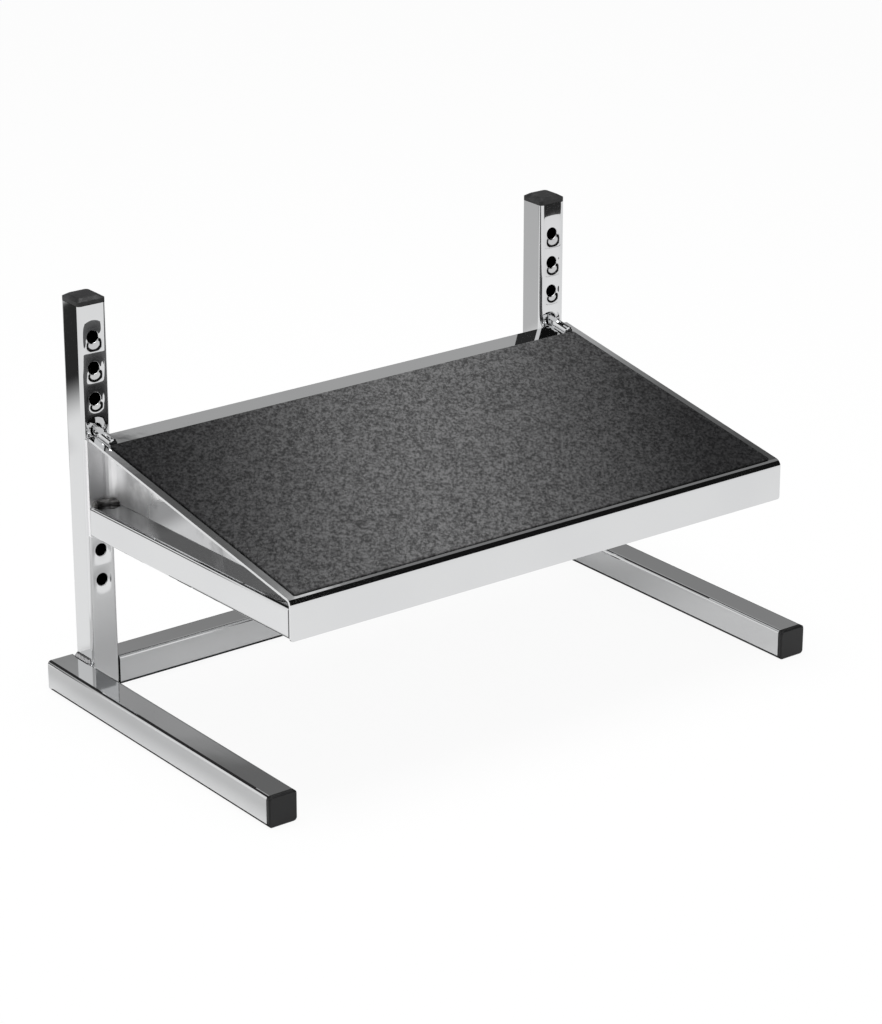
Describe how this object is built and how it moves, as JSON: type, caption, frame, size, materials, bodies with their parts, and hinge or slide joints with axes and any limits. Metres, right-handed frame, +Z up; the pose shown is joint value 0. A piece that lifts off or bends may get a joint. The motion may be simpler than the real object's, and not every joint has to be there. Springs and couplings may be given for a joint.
{
  "type": "hook-on height-adjustable footrest",
  "caption": "Chromed square-tube footrest: a sloping mat-topped foot plate on arms hangs by bent hook rods in holes of posts on floor rails.",
  "frame": {"origin": "on the floor, in the middle of the rectangle filled by the floor rails and their end plugs", "axes": "+X to the right along the crossbar, +Y to the back where the posts stand, +Z up"},
  "size_m": [0.5334, 0.314, 0.3311],
  "materials": {
    "tubing": "bright chrome plating on drawn steel tube",
    "sheet": "bright chrome plating on steel sheet",
    "rod": "chrome plating on steel rod",
    "weld": "plated weld bead",
    "plastic": "moulded black plastic, fine grain",
    "mat": "dark grey-black gritty anti-slip sheet"
  },
  "bodies": {
    "frame": {"left_base_rail": "tubing", "right_base_rail": "tubing", "left_upright": "tubing", "right_upright": "tubing", "crossbar": "tubing", "left_rail_weld": "weld", "right_rail_weld": "weld", "left_rail_front_plug": "plastic", "right_rail_front_plug": "plastic", "left_rail_rear_plug": "plastic", "right_rail_rear_plug": "plastic", "left_upright_cap": "plastic", "right_upright_cap": "plastic"},
    "platform": {"top_plate": "sheet", "anti_slip_mat": "mat", "left_arm": "tubing", "right_arm": "tubing", "left_side_bracket": "sheet", "right_side_bracket": "sheet", "left_hook_rod": "rod", "right_hook_rod": "rod"}
  },
  "joints": [
    {"name": "platform_tilt", "type": "hinge", "parent": "frame", "child": "platform", "pos_m": [0, 0.12772, 0.2332], "axis": [-1, 0, 0], "range_deg": [0, 54]}
  ]
}
